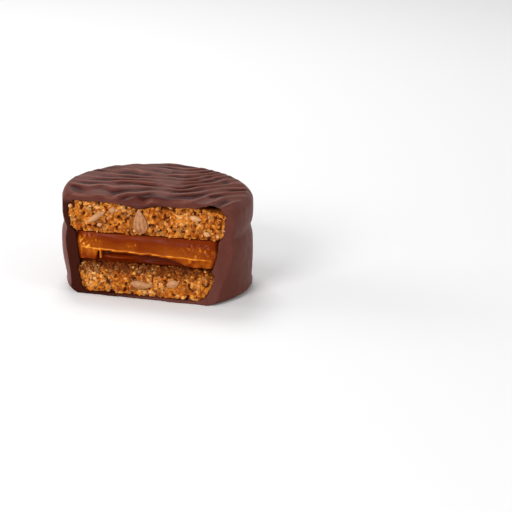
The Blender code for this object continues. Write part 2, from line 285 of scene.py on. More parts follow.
@dataclass(frozen=True)
class CookieForm:
    """Sizes of the whole cookie, and the shapes that all its layers follow."""

    radius: float = 28.9 * MM
    base_coat: float = 1.0 * MM
    lower_biscuit: float = 8.2 * MM
    filling: float = 9.2 * MM
    upper_biscuit: float = 9.0 * MM
    top_coat: float = 2.4 * MM
    side_coat: float = 1.5 * MM
    filling_inset: float = 1.3 * MM
    clearance: float = 0.3 * MM
    upper_wedge: float = 0.04
    crown: float = 0.7 * MM
    shoulder: float = 3.4 * MM
    top_drop: float = 0.2 * MM
    foot: float = 1.8 * MM
    waist_depth: float = 0.7 * MM
    waist_spread: float = 2.0 * MM
    top_tilt: float = math.radians(0.6)
    pinch: float = 2.0 * MM
    pinch_height: float = 13.0 * MM
    pinch_angle: float = math.radians(190.0)
    pinch_spread: float = math.radians(38.0)
    fold_depth: float = 0.25 * MM
    sink_left: float = 2.2 * MM
    sink_right: float = 0.6 * MM
    sink_from: float = -9.0 * MM
    sink_to: float = 4.0 * MM
    sink_span: float = 9.0 * MM
    pool_right: float = 1.5 * MM
    pool_right_angle: float = math.radians(320.0)
    pool_right_spread: float = math.radians(30.0)
    pool_left: float = 0.8 * MM
    pool_left_angle: float = math.radians(220.0)
    pool_left_spread: float = math.radians(25.0)
    top_reach: float = 0.7 * MM
    lean_left: float = 0.4
    lean_right: float = 0.9
    cut_at_base: float = 18.65 * MM
    cut_lean: float = 0.242
    cut_twist_at_base: float = 0.045
    cut_twist_swing: float = 0.115
    cut_twist_height: float = 25.0 * MM

    @property
    def lower_top(self) -> float:
        """Height of the lower biscuit's top."""
        return self.base_coat + self.lower_biscuit

    @property
    def filling_top(self) -> float:
        """Height of the caramel's top."""
        return self.lower_top + self.filling

    @property
    def upper_top(self) -> float:
        """Height of the upper biscuit's top."""
        return self.filling_top + self.upper_biscuit

    @property
    def rim_height(self) -> float:
        """Height of the coated rim."""
        return self.upper_top + self.top_coat

    @property
    def biscuit_radius(self) -> float:
        """Radius of the space for the biscuits."""
        return self.radius - self.side_coat

    @property
    def filling_radius(self) -> float:
        """Radius of the space for the caramel."""
        return self.biscuit_radius - self.filling_inset

    def side_radius(self, z: float) -> float:
        """Radius of the coated side at height z, with its waist at the upper biscuit's edge."""
        return self.radius - self.waist_depth * bell(z, self.filling_top + 0.8 * MM, self.waist_spread)

    def wedged(self, point: Vector) -> Vector:
        """Moves a point in or under the upper biscuit, whose top rises towards +X."""
        share = smooth_step(self.filling_top, self.upper_top, point.z)
        return Vector((point.x, point.y, point.z + self.upper_wedge * point.x * share))

    def settled(self, point: Vector) -> Vector:
        """Moves a point of the true round cookie to where it lies in the settled one."""
        x, y, z = point
        reach = math.hypot(x, y)
        if reach < NEAR_AXIS:
            return point
        angle = math.atan2(y, x) % (2.0 * math.pi)
        share = reach / self.radius
        height = z / self.rim_height
        fold = self.fold_depth * (
            math.cos(3.0 * angle + 0.8 + 1.5 * height) + 0.6 * math.cos(7.0 * angle - 2.2 * height)
        )
        low = 1.0 - smooth_step(0.0, self.pinch_height, z)
        pinch = self.pinch * low * bell(angle, self.pinch_angle, self.pinch_spread)
        factor = 1.0 + (fold - pinch) * share**2 / reach
        drop = math.tan(self.top_tilt) * x * height
        return Vector((x * factor, y * factor, z - drop))

    def crowded(self, point: Vector) -> Vector:
        """Moves a point inside the coat away from the pooled chocolate at the ends of the cut."""
        reach = math.hypot(point.x, point.y)
        if reach < NEAR_AXIS:
            return point
        angle = math.atan2(point.y, point.x) % (2.0 * math.pi)
        right = self.pool_right * bell(angle, self.pool_right_angle, self.pool_right_spread)
        right *= 1.0 - 0.7 * smooth_step(self.filling_top + 1.0 * MM, self.upper_top, point.z)
        left = self.pool_left * bell(angle, self.pool_left_angle, self.pool_left_spread)
        left *= 1.0 - smooth_step(self.lower_top - 3.0 * MM, self.lower_top, point.z)
        share = reach / self.radius
        factor = 1.0 - (right + left) * share**2 / reach
        return Vector((point.x * factor, point.y * factor, point.z))

    def inside(self, point: Vector) -> Vector:
        """Moves a point of the true round layers to where it lies in the settled cookie."""
        return self.settled(self.wedged(self.crowded(point)))

    def sink(self, x: float, y: float) -> float:
        """How far the top has sunk at a place near the cut."""
        behind = y + self.knife_reach(x, self.upper_top) + self.top_reach
        near = 1.0 - min(1.0, max(0.0, behind / self.sink_span))
        return self.from_left(x, self.sink_left, self.sink_right) * near * near

    def from_left(self, x: float, left: float, right: float) -> float:
        """A value that changes from left to right along the top coat's edge."""
        return left + (right - left) * smooth_step(self.sink_from, self.sink_to, x)

    def knife_reach(self, x: float, z: float) -> float:
        """How far in front of the centre the knife passed, at x and height z."""
        swing = self.cut_twist_swing * math.sin(math.pi * z / self.cut_twist_height)
        return self.cut_at_base - self.cut_lean * z - (swing - self.cut_twist_at_base) * x


def quarter(
    center: tuple[float, float], radius: float, start: float, end: float, steps: int
) -> Profile:
    """Points (r, z) on an arc.

    Args:
        center: the arc's centre (r, z).
        radius: the arc's radius.
        start: first angle in degrees, 90 being up.
        end: last angle in degrees.
        steps: how many chords the arc has.

    Returns:
        The points, both ends among them.
    """
    points = []
    for i in range(steps + 1):
        angle = math.radians(start + (end - start) * i / steps)
        points.append((center[0] + radius * math.cos(angle), center[1] + radius * math.sin(angle)))
    return points


def straight(start: tuple[float, float], end: tuple[float, float], steps: int) -> Profile:
    """Points (r, z) on a line.

    Args:
        start: first end (r, z).
        end: last end (r, z).
        steps: how many pieces the line is cut into.

    Returns:
        The points between the ends, without the ends.
    """
    points = []
    for i in range(1, steps):
        t = i / steps
        points.append((start[0] + (end[0] - start[0]) * t, start[1] + (end[1] - start[1]) * t))
    return points


def turned(name: str, profile: Profile, steps: int) -> bpy.types.Object:
    """A closed solid of revolution about Z.

    Args:
        name: the object's name.
        profile: outline (r, z) whose first and last points lie on the axis.
        steps: how many facets there are round the axis.

    Returns:
        The linked object.
    """
    rings = profile[1:-1]
    points = [Vector((0.0, 0.0, profile[0][1])), Vector((0.0, 0.0, profile[-1][1]))]
    for r, z in rings:
        for i in range(steps):
            angle = 2.0 * math.pi * i / steps
            points.append(Vector((r * math.cos(angle), r * math.sin(angle), z)))
    faces: list[tuple[int, ...]] = []
    last = 2 + (len(rings) - 1) * steps
    for i in range(steps):
        j = (i + 1) % steps
        faces.append((0, 2 + i, 2 + j))
        faces.append((1, last + j, last + i))
        for ring in range(len(rings) - 1):
            a = 2 + ring * steps
            b = a + steps
            faces.append((a + i, b + i, b + j, a + j))
    return mesh_object(name, points, faces)


def knife_block(name: str, front: Front, low: float, high: float, grain: float) -> bpy.types.Object:
    """A closed block in front of the cookie whose back face is the surface y = -front(x, z).

    Args:
        name: the object's name.
        front: gives the distance in front of the centre at x and z.
        low: lowest height of the block.
        high: greatest height of the block.
        grain: spacing of the shaped face's grid.

    Returns:
        The linked object.
    """
    columns = round(KNIFE_SPAN / grain)
    rows = round((high - low) / grain)
    points = []
    for row in range(rows + 1):
        z = low + (high - low) * row / rows
        for column in range(columns + 1):
            x = KNIFE_SPAN * (column / columns - 0.5)
            points.append(Vector((x, -front(x, z), z)))
    wide = columns + 1
    faces: list[tuple[int, ...]] = []
    for row in range(rows):
        for column in range(columns):
            a = row * wide + column
            faces.append((a, a + 1, a + wide + 1, a + wide))
    bottom = list(range(wide))
    right = [row * wide + columns for row in range(1, rows + 1)]
    top = [rows * wide + column for column in range(columns - 1, -1, -1)]
    left = [row * wide for row in range(rows - 1, 0, -1)]
    rim = bottom + right + top + left
    start = len(points)
    for index in rim:
        point = points[index]
        points.append(Vector((point.x, -KNIFE_DEPTH, point.z)))
    count = len(rim)
    for i in range(count):
        j = (i + 1) % count
        faces.append((rim[i], start + i, start + j, rim[j]))
    faces.append(tuple(range(start, start + count)))
    return mesh_object(name, points, faces)


def anywhere(place: Vector) -> bool:
    """True for every place."""
    return True


def soften_creases(
    obj: bpy.types.Object,
    angle: float,
    reach: float,
    rounds: int,
    where: Callable[[Vector], bool] = anywhere,
) -> None:
    """Rounds the sharp edges of a dense mesh.

    Args:
        obj: the object to soften.
        angle: edges that turn by more than this, in radians, are sharp.
        reach: vertices this near a sharp edge are smoothed.
        rounds: how often they are smoothed.
        where: says which places on sharp edges count.
    """
    bm = bmesh.new()
    bm.from_mesh(obj.data)
    edges = [e for e in bm.edges if e.calc_face_angle(0.0) > angle]
    sharp = {v for e in edges for v in e.verts if where(v.co)}
    if sharp:
        tree = KDTree(len(sharp))
        for i, vertex in enumerate(sharp):
            tree.insert(vertex.co, i)
        tree.balance()
        near = [v for v in bm.verts if tree.find(v.co)[2] < reach]
        for _ in range(rounds):
            bmesh.ops.smooth_vert(
                bm, verts=near, factor=0.5, use_axis_x=True, use_axis_y=True, use_axis_z=True
            )
    bm.to_mesh(obj.data)
    bm.free()


# ---------------------------------------------------------------- finishes


@dataclass(frozen=True)
class SatinChocolate:
    """Dark chocolate that set after enrobing: satin and violet-brown, with painted highlights on the
    ripple crests, painted shade in the troughs, and painted shade on the left of the snapped face, which
    is also dull.
    """

    # The darkest colour is painted shade for the ripple troughs, and the palest is a painted highlight for
    # the crests.
    painted_shade: str = "#38140e"
    coat: str = "#5f3229"
    crest: str = "#87594d"
    # The snapped face is painted towards this colour as painted shade.
    snapped: str = "#39130a"
    cloud_size: float = 7.0 * MM
    grain_size: float = 0.5 * MM
    grain_height: float = 0.012 * MM
    roughness: Span = (0.38, 0.5)
    snapped_roughness: float = 0.62

    def make(self) -> bpy.types.Material:
        """Builds the material."""
        material, tree = new_material("satin_dark_chocolate")
        place = (add_node(tree, "ShaderNodeTexCoord"), "Object")
        cloud = noise_node(tree, place, self.cloud_size, 3.0, {"Roughness": 0.5})
        drift = span_node(tree, cloud, (0.3, 0.7), (-0.06, 0.06))
        # A stored share paints highlights on the ripple crests and shade in the troughs.
        tone = stored_node(tree, "tone")
        shade = math_node(tree, "ADD", (tone, "Fac"), (drift, "Result"))
        coat = ramp_node(tree, shade, ((0.0, self.painted_shade), (0.5, self.coat), (1.0, self.crest)))
        # The snapped face is painted darker, as painted shade on its left part, and is duller there.
        cut = stored_node(tree, "cut_face")
        color = toward_node(tree, cut, (coat, "Color"), self.snapped)
        gloss = span_node(tree, cloud, (0.3, 0.7), self.roughness)
        dull = add_node(
            tree,
            "ShaderNodeMix",
            {"data_type": "FLOAT", 3: self.snapped_roughness},
            {0: (cut, "Fac"), 2: (gloss, "Result")},
        )
        grain = noise_node(tree, place, self.grain_size, 2.0)
        bump = bump_node(tree, grain, 1.0, self.grain_height)
        add_surface(
            tree,
            {"IOR": 1.45, "Specular IOR Level": 0.06},
            {"Base Color": (color, 2), "Roughness": (dull, 0), "Normal": (bump, "Normal")},
        )
        return material


@dataclass(frozen=True)
class BakedCrumb:
    """Baked biscuit broken open: dry golden grains, pale flecks of flour, painted shade in the pores and
    between lumps, and a darker colour along the lower biscuit's top.
    """

    # The pore colour is also the painted shade in pores and between lumps.
    pore: str = "#66290a"
    brown: str = "#bd5c11"
    golden: str = "#e48f2c"
    pale: str = "#f7c685"
    # A darker colour for the lower biscuit's top and the crumbs on it.
    dark_top: str = "#5e2508"
    mottle_size: float = 5.0 * MM
    grain_size: float = 0.35 * MM
    grain_height: float = 0.05 * MM

    def make(self) -> bpy.types.Material:
        """Builds the material."""
        material, tree = new_material("baked_seeded_biscuit")
        place = (add_node(tree, "ShaderNodeTexCoord"), "Object")
        mottle = noise_node(tree, place, self.mottle_size, 2.0)
        drift = span_node(tree, mottle, (0.3, 0.7), (-0.14, 0.14))
        tint = stored_node(tree, "tint")
        shade = math_node(tree, "ADD", (tint, "Fac"), (drift, "Result"))
        stops = ((0.0, self.pore), (0.3, self.brown), (0.62, self.golden), (1.0, self.pale))
        ramp = ramp_node(tree, shade, stops)
        # A stored share paints shade into pores, gaps between lumps and low crags.
        painted_shade = toward_node(tree, stored_node(tree, "pit"), (ramp, "Color"), self.pore)
        darkened = toward_node(tree, stored_node(tree, "stain"), (painted_shade, 2), self.dark_top)
        grain = noise_node(tree, place, self.grain_size, 3.0, {"Roughness": 0.6})
        bump = bump_node(tree, grain, 0.8, self.grain_height)
        add_surface(
            tree,
            {"Roughness": 0.72, "Specular IOR Level": 0.12},
            {"Base Color": (darkened, 2), "Normal": (bump, "Normal")},
        )
        return material


@dataclass(frozen=True)
class MilkCaramel:
    """Thick milk caramel drawn by a knife: glossy and red-brown, with a painted highlight along the ridge
    and drips, painted glints near the ends, and painted shade in the hollow under the ridge and near the
    upper biscuit.
    """

    # The hollow colour is painted shade, the ridge colour is a painted highlight, and the thin colour is
    # the palest painted highlight and glint.
    hollow: str = "#561700"
    body: str = "#7c2a00"
    ridge: str = "#c66a12"
    thin: str = "#f2a43a"
    streak_size: float = 4.0 * MM
    gloss_size: float = 2.2 * MM
    ripple_height: float = 0.02 * MM
    roughness: Span = (0.16, 0.34)

    def make(self) -> bpy.types.Material:
        """Builds the material."""
        material, tree = new_material("glossy_milk_caramel")
        place = (add_node(tree, "ShaderNodeTexCoord"), "Object")
        drawn = add_node(tree, "ShaderNodeMapping", {"Scale": (0.45, 1.0, 1.3)}, {"Vector": place})
        streak = noise_node(tree, (drawn, "Vector"), self.streak_size, 2.0)
        drift = span_node(tree, streak, (0.3, 0.7), (-0.05, 0.05))
        # A stored share paints shade in the hollow and highlights on the ridge, the drips and the crumpled
        # places.
        glow = stored_node(tree, "glow")
        shade = math_node(tree, "ADD", (glow, "Fac"), (drift, "Result"))
        stops = ((0.0, self.hollow), (0.4, self.body), (0.75, self.ridge), (1.0, self.thin))
        ramp = ramp_node(tree, shade, stops)
        patch = noise_node(tree, place, self.gloss_size, 1.0)
        gloss = span_node(tree, patch, (0.35, 0.65), self.roughness)
        bump = bump_node(tree, patch, 0.5, self.ripple_height)
        add_surface(
            tree,
            {
                "IOR": 1.48,
                "Specular IOR Level": 0.06,
                "Subsurface Weight": 0.15,
                "Subsurface Scale": 2.0 * MM,
                "Subsurface Radius": (1.0, 0.4, 0.12),
            },
            {"Base Color": (ramp, "Color"), "Roughness": (gloss, "Result"), "Normal": (bump, "Normal")},
        )
        return material


@dataclass(frozen=True)
class ToastedKernel:
    """Hulled sunflower seed after baking: smooth, waxy, beige with faint long streaks."""

    pale: str = "#d39a66"
    toasted: str = "#87471b"
    waviness_size: float = 1.2 * MM

    def make(self) -> bpy.types.Material:
        """Builds the material."""
        material, tree = new_material("toasted_sunflower_kernel")
        place = (add_node(tree, "ShaderNodeTexCoord"), "Object")
        streak = stored_node(tree, "streak")
        cloud = noise_node(tree, place, self.waviness_size, 2.0)
        shade = math_node(tree, "MULTIPLY", (streak, "Fac"), (cloud, "Fac"))
        color = add_node(
            tree,
            "ShaderNodeMix",
            {"data_type": "RGBA", 6: srgb(self.pale), 7: srgb(self.toasted)},
            {0: (shade, "Value")},
        )
        add_surface(tree, {"Roughness": 0.5, "Specular IOR Level": 0.4}, {"Base Color": (color, 2)})
        return material


# ---------------------------------------------------------------- the chocolate coat


@dataclass
class ChocolateCoat:
    """The chocolate shell: rippled top, waisted side, flat base, and the snapped edge at the cut."""

    form: CookieForm
    ripple_pitch: float = 4.5 * MM
    ripple_height: float = 0.56 * MM
    ripple_stretch: float = 14.0 * MM
    ripple_bend: float = 30.0
    ripple_bend_from: float = 4.0 * MM
    ripple_bend_to: float = 20.0 * MM
    ripple_widen: float = 0.28
    ripple_origin: float = 18.0 * MM
    lump_height: float = 0.22 * MM
    lump_size: float = 7.0 * MM
    bead_height: float = 0.35 * MM
    groove_depth: float = 0.22 * MM
    flap_drop: float = 1.4 * MM
    flap_center: float = -3.4 * MM
    flap_spread: float = 4.0 * MM
    arch_rise: float = 1.0 * MM
    arch_center: float = 19.0 * MM
    arch_spread: float = 3.2 * MM
    steps: int = 420
    knife_grain: float = 0.32 * MM

    def ripple_wave(self, x: float, y: float) -> tuple[float, float]:
        """The air-blown ripples at a place on top.

        Args:
            x: place across the cookie.
            y: place from front to back.

        Returns:
            The wave, 0 on a crest and 1 in a trough, and how strong the ripples are there.
        """
        swept = y + self.ripple_origin - self.ripple_bend * max(0.0, x - self.ripple_bend_from) ** 2
        swept *= 1.0 - self.ripple_widen * smooth_step(self.ripple_bend_from, self.ripple_bend_to, x)
        along = x / self.ripple_stretch
        across = y / (2.0 * self.ripple_pitch)
        wander = 0.55 * noise.noise(Vector((along, across, 0.3)))
        wander += 0.34 * noise.noise(Vector((2.3 * along, 1.7 * across, 7.7)))
        wave = abs(math.sin(math.pi * (swept / self.ripple_pitch + wander)))
        strength = 0.95 + 0.3 * noise.noise(Vector((along, across, 5.1)))
        strength += 0.85 * noise.noise(Vector((2.2 * along, 2.0 * across, 9.4)))
        return wave, min(1.5, max(0.3, strength))

    def ripple(self, x: float, y: float) -> float:
        """Height of the ripples, whose crests are sharper than the troughs."""
        wave, strength = self.ripple_wave(x, y)
        return self.ripple_height * strength * (1.0 - 1.6 * math.sqrt(wave * wave + 0.006))

    def tone(self, place: Vector) -> float:
        """Painted light on the chocolate: a painted highlight on a ripple crest, painted shade in a
        trough, a darker strip along the lower edge of the cut face, and 0.5 elsewhere.

        Args:
            place: a point on the finished coat.

        Returns:
            A share from 0, painted shade, to 1, painted highlight.
        """
        form = self.form
        if place.z < form.rim_height - form.shoulder:
            return 0.5
        reach = math.hypot(place.x, place.y)
        wave, strength = self.ripple_wave(place.x, place.y)
        fade = 1.0 - smooth_step(form.radius - form.shoulder, form.radius - 0.5 * form.shoulder, reach)
        over = self.over(place.x, place.z)
        gap = abs(place.y + self.front(place.x, place.z))
        if gap < 0.3 * MM:
            fade *= smooth_step(0.2 * MM, 2.2 * MM, over)
        # Crests get a painted highlight and troughs get painted shade.
        crest = bell(wave, 0.0, 0.24)
        trough = smooth_step(0.5, 0.95, wave) * smooth_step(0.6, 1.3, strength)
        # Darker along the lower edge of the cut face, just right of the hanging flap.
        edge_darkening = self.hang(place.x - 3.5 * MM) * bell(over, 0.0, 0.9 * MM) if gap < 0.4 * MM else 0.0
        return 0.5 + fade * strength * (0.38 * crest - 0.85 * trough) - 0.45 * edge_darkening

    def profile(self) -> Profile:
        """Outline from the middle of the top to the middle of the base."""
        form = self.form
        flat = form.radius - form.shoulder
        lift = form.rim_height - form.top_drop
        share = 1.0 - form.top_drop / form.shoulder
        edge = flat + form.shoulder * math.sqrt(1.0 - share**2)
        tip = math.degrees(math.asin(share))
        points = [(0.0, lift + form.crown)]
        rings = 66
        for i in range(1, rings):
            r = edge * i / rings
            points.append((r, lift + form.crown * (1.0 - (r / edge) ** 2)))
        wall_top = form.rim_height - form.shoulder
        points += quarter((flat, wall_top), form.shoulder, tip, 0.0, 12)
        for r, z in straight((form.radius, wall_top), (form.radius, form.foot), 52):
            points.append((form.side_radius(z), z))
        foot_center = (form.radius - form.foot, form.foot)
        points += quarter(foot_center, form.foot, 0.0, -90.0, 9)
        points += straight((foot_center[0], 0.0), (0.0, 0.0), 8)
        points.append((0.0, 0.0))
        for _ in range(3):
            middle = [
                (
                    (before[0] + 2.0 * here[0] + after[0]) / 4.0,
                    (before[1] + 2.0 * here[1] + after[1]) / 4.0,
                )
                for before, here, after in zip(points[:-12], points[1:-11], points[2:-10])
            ]
            points[1:-11] = middle
        return points

    def relief(self, point: Vector) -> Vector:
        """Adds the ripples, the side's lumps and groove, and the bead round the foot to a point."""
        form = self.form
        reach = math.hypot(point.x, point.y)
        moved = point.copy()
        wall_top = form.rim_height - form.shoulder
        if point.z > wall_top:
            fade = 1.0 - smooth_step(form.radius - form.shoulder, form.radius - 0.3 * form.shoulder, reach)
            moved.z += fade * self.ripple(point.x, point.y)
            moved.z -= form.sink(point.x, point.y) * min(1.0, (point.z - wall_top) / form.shoulder)
            moved.z += 0.05 * MM * fade * wave_noise(point.x, point.y, 3.0, 1.6 * MM)
        side = smooth_step(form.radius - form.shoulder, form.radius - 0.2 * form.shoulder, reach)
        side *= smooth_step(0.0, 0.8 * MM, point.z)
        if side > 0.0 and reach > 0.0:
            angle = math.atan2(point.y, point.x)
            out = self.lump_height * wave_noise(point.x, point.y, point.z, self.lump_size)
            out += 0.4 * self.lump_height * wave_noise(point.x, point.y, point.z, 2.6 * MM)
            out += self.bead_height * bell(point.z, 1.7 * MM, 0.8 * MM)
            level = form.filling_top + (1.0 + 0.5 * math.sin(5.0 * angle)) * MM
            depth = 0.6 + 0.6 * wave_noise(point.x, point.y, 0.0, 5.0 * MM)
            out -= self.groove_depth * max(0.0, depth) * bell(point.z, level, 0.5 * MM)
            moved.x += side * out * point.x / reach
            moved.y += side * out * point.y / reach
        return moved

    def hang(self, x: float) -> float:
        """1 where the top coat's edge hangs lowest, 0 away from there."""
        return bell(x, self.flap_center, self.flap_spread)

    def flap(self, x: float, y: float) -> float:
        """How far the top coat hangs down over the upper biscuit, near the cut."""
        near = 1.0 - smooth_step(-10.0 * MM, -5.0 * MM, y)
        ragged = 0.22 * MM * wave_noise(x, y, 0.0, 1.5 * MM)
        return near * (self.flap_drop * self.hang(x) + ragged)

    def arch(self, x: float, y: float) -> float:
        """How far the coat has lifted off the upper biscuit's right end, near the cut."""
        near = 1.0 - smooth_step(-12.0 * MM, -8.0 * MM, y)
        return near * self.arch_rise * bell(x, self.arch_center, self.arch_spread)

    def cavity(self) -> bpy.types.Object:
        """The space inside the coat: wide at each biscuit, narrow at the caramel."""
        form = self.form
        edge = 2.2 * MM
        wide = form.biscuit_radius
        points = [(0.0, form.upper_top)]
        points += straight((0.0, form.upper_top), (wide - edge, form.upper_top), 40)
        points += quarter((wide - edge, form.upper_top - edge), edge, 90.0, 0.0, 8)
        points += quarter((wide - edge, form.filling_top + edge), edge, 0.0, -50.0, 6)
        points.append((form.filling_radius, form.filling_top - form.clearance))
        low = (form.filling_radius, form.lower_top + form.clearance)
        points += straight(points[-1], low, 10)
        points.append(low)
        points += quarter((wide - edge, form.lower_top - edge), edge, 50.0, 0.0, 6)
        points += quarter((wide - edge, form.base_coat + edge), edge, 0.0, -90.0, 8)
        points.append((0.0, form.base_coat))
        space = turned("cavity", points, 220)
        for vertex in space.data.vertices:
            place = vertex.co.copy()
            if place.z > form.upper_top - 0.5 * edge:
                place.z += self.arch(place.x, place.y) - self.flap(place.x, place.y)
            vertex.co = form.inside(place)
        return space

    def over(self, x: float, z: float) -> float:
        """Height over the lower edge of the top coat, where its face starts to lean back."""
        edge = self.form.upper_top + self.form.upper_wedge * x - self.flap_drop * self.hang(x)
        return max(0.0, z - edge)

    def front(self, x: float, z: float) -> float:
        """Snapped face of the chocolate, close to the knife, with shell-like waves."""
        form = self.form
        wave = 0.4 * MM * noise.noise(Vector((x * 160.0, 2.0, z * 160.0)))
        fine = 0.1 * MM * wave_noise(x, 4.0, z, 1.1 * MM)
        top = smooth_step(form.upper_top - 1.5 * MM, form.upper_top, z)
        chips = 0.35 * MM * top * wave_noise(x, 6.0, 0.3 * z, 2.4 * MM)
        lean = form.from_left(x, form.lean_left, form.lean_right) * self.over(x, z)
        return form.knife_reach(x, z) + form.top_reach * top + wave + fine + chips - lean

    def outer_edge(self, place: Vector) -> bool:
        """True on the melted outer edges of the cut: along the top and down the right."""
        high = place.z > self.form.upper_top + self.form.upper_wedge * place.x + 0.8 * MM
        right = place.x > 0.0 and math.hypot(place.x, place.y) > self.form.radius - 1.3 * MM
        return high or (right and place.z > 2.5 * MM)

    def build(self, material: bpy.types.Material) -> bpy.types.Object:
        """Makes the coat and puts it in place of its CAD node.

        Args:
            material: the chocolate finish.

        Returns:
            The finished coat.
        """
        coat = turned("coat", self.profile(), self.steps)
        for vertex in coat.data.vertices:
            vertex.co = self.form.settled(self.relief(vertex.co))
        cut_away(coat, self.cavity())
        high = self.form.rim_height + 4.0 * MM
        cut_away(coat, knife_block("knife", self.front, -4.0 * MM, high, self.knife_grain))
        gaps = [abs(v.co.y + self.front(v.co.x, v.co.z)) for v in coat.data.vertices]
        # Marks the snapped face for dull roughness and painted shade; the painted shade fades out near the
        # top and towards the right.
        values = []
        for vertex, gap in zip(coat.data.vertices, gaps):
            x, y, z = vertex.co
            value = 1.0 - smooth_step(0.12 * MM, 0.35 * MM, gap)
            value *= 1.0 - smooth_step(self.form.upper_top - 2.0 * MM, self.form.upper_top, z)
            values.append(value * (1.0 - smooth_step(-16.0 * MM, 4.0 * MM, x)))
        set_values(coat.data, "cut_face", values)
        set_values(coat.data, "tone", [self.tone(v.co) for v in coat.data.vertices])
        soften_creases(coat, math.radians(34.0), 0.8 * MM, 7, self.outer_edge)
        soften_creases(coat, math.radians(38.0), 0.4 * MM, 4)
        dress(coat, material)
        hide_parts("chocolate_coating")
        return coat


# ---------------------------------------------------------------- crumbs


class CrumbKind(Enum):
    """What a scattered crumb looks like: shares of a full tint, and how far it is darkened towards the
    dark top colour.
    """

    GOLDEN = (0.28, 0.92, 0.0)
    DARK_TOP = (0.15, 0.85, 0.7)


@dataclass(frozen=True)
class CrumbScatter:
    """Irregular grains scattered over a surface by Geometry Nodes."""

    density: float
    smallest: float
    largest: float
    kind: CrumbKind
    seed: int
    sockets: tuple[tuple[str, str], ...] = (
        ("Geometry", "Geometry"),
        ("Grains per Area", "Float"),
        ("Smallest", "Float"),
        ("Largest", "Float"),
        ("Darkest", "Float"),
        ("Lightest", "Float"),
        ("Top Darkening", "Float"),
        ("Seed", "Int"),
        ("Finish", "Material"),
    )

    def tree(self) -> bpy.types.NodeTree:
        """Builds the node tree that scatters, roughens and tints the grains."""
        tree = bpy.data.node_groups.new("crumb_scatter", "GeometryNodeTree")
        face = tree.interface
        for name, kind in self.sockets:
            face.new_socket(name, in_out="INPUT", socket_type="NodeSocket" + kind)
        face.new_socket("Geometry", in_out="OUTPUT", socket_type="NodeSocketGeometry")
        given = add_node(tree, "NodeGroupInput")
        spots = add_node(
            tree,
            "GeometryNodeDistributePointsOnFaces",
            {},
            {
                "Mesh": (given, "Geometry"),
                "Density": (given, "Grains per Area"),
                "Seed": (given, "Seed"),
            },
        )
        grain = add_node(tree, "GeometryNodeMeshUVSphere", {"Segments": 7, "Rings": 5, "Radius": 0.5})
        turn = add_node(
            tree,
            "FunctionNodeRandomValue",
            {"data_type": "FLOAT_VECTOR", 0: (0.0, 0.0, 0.0), 1: (6.28, 6.28, 6.28)},
            {"Seed": (given, "Seed")},
        )
        size = add_node(
            tree,
            "FunctionNodeRandomValue",
            {"data_type": "FLOAT"},
            {2: (given, "Smallest"), 3: (given, "Largest"), "Seed": (given, "Seed")},
        )
        stretch = add_node(
            tree,
            "FunctionNodeRandomValue",
            {"data_type": "FLOAT_VECTOR", 0: (0.7, 0.7, 0.7), 1: (1.3, 1.3, 1.3), "Seed": 5},
        )
        scale = add_node(
            tree,
            "ShaderNodeVectorMath",
            {"operation": "SCALE"},
            {0: (stretch, 0), "Scale": (size, 1)},
        )
        placed = add_node(
            tree,
            "GeometryNodeInstanceOnPoints",
            {},
            {
                "Points": (spots, "Points"),
                "Instance": (grain, "Mesh"),
                "Rotation": (turn, 0),
                "Scale": (scale, 0),
            },
        )
        shade = add_node(
            tree,
            "FunctionNodeRandomValue",
            {"data_type": "FLOAT", "Seed": 11},
            {2: (given, "Darkest"), 3: (given, "Lightest")},
        )
        tinted = add_node(
            tree,
            "GeometryNodeStoreNamedAttribute",
            {"data_type": "FLOAT", "domain": "INSTANCE", "Name": "tint"},
            {"Geometry": (placed, "Instances"), "Value": (shade, 1)},
        )
        darkened = add_node(
            tree,
            "GeometryNodeStoreNamedAttribute",
            {"data_type": "FLOAT", "domain": "INSTANCE", "Name": "stain"},
            {"Geometry": (tinted, "Geometry"), "Value": (given, "Top Darkening")},
        )
        real = add_node(tree, "GeometryNodeRealizeInstances", {}, {"Geometry": (darkened, "Geometry")})
        rough = add_node(tree, "ShaderNodeTexNoise", {"Scale": 1.0 / (0.8 * MM), "Detail": 1.0})
        middle = add_node(
            tree,
            "ShaderNodeVectorMath",
            {"operation": "SUBTRACT", 1: (0.5, 0.5, 0.5)},
            {0: (rough, "Color")},
        )
        push = add_node(
            tree,
            "ShaderNodeVectorMath",
            {"operation": "SCALE", "Scale": 1.3 * MM},
            {0: (middle, 0)},
        )
        bent = add_node(
            tree,
            "GeometryNodeSetPosition",
            {},
            {"Geometry": (real, "Geometry"), "Offset": (push, 0)},
        )
        finished = add_node(
            tree,
            "GeometryNodeSetMaterial",
            {},
            {"Geometry": (bent, "Geometry"), "Material": (given, "Finish")},
        )
        add_node(tree, "NodeGroupOutput", {}, {"Geometry": (finished, "Geometry")})
        return tree

    def build(
        self, name: str, host: bpy.types.Object, material: bpy.types.Material
    ) -> bpy.types.Object:
        """Scatters the grains over a host surface, which is used up.

        Args:
            name: the finished piece's name.
            host: the surface that the grains sit on.
            material: the grains' finish.

        Returns:
            The grains as one plain mesh.
        """
        darkest, lightest, stain = self.kind.value
        tree = self.tree()
        given = {
            "Grains per Area": self.density,
            "Smallest": self.smallest,
            "Largest": self.largest,
            "Darkest": darkest,
            "Lightest": lightest,
            "Top Darkening": stain,
            "Seed": self.seed,
            "Finish": material,
        }
        modifier = host.modifiers.new("Crumbs", "NODES")
        modifier.node_group = tree
        for item in tree.interface.items_tree:
            if item.in_out == "INPUT" and item.name in given:
                modifier[item.identifier] = given[item.name]
        bake(host)
        bpy.data.node_groups.remove(tree)
        host.name = name
        host.data.name = name
        dress(host, material, smooth=False)
        return host


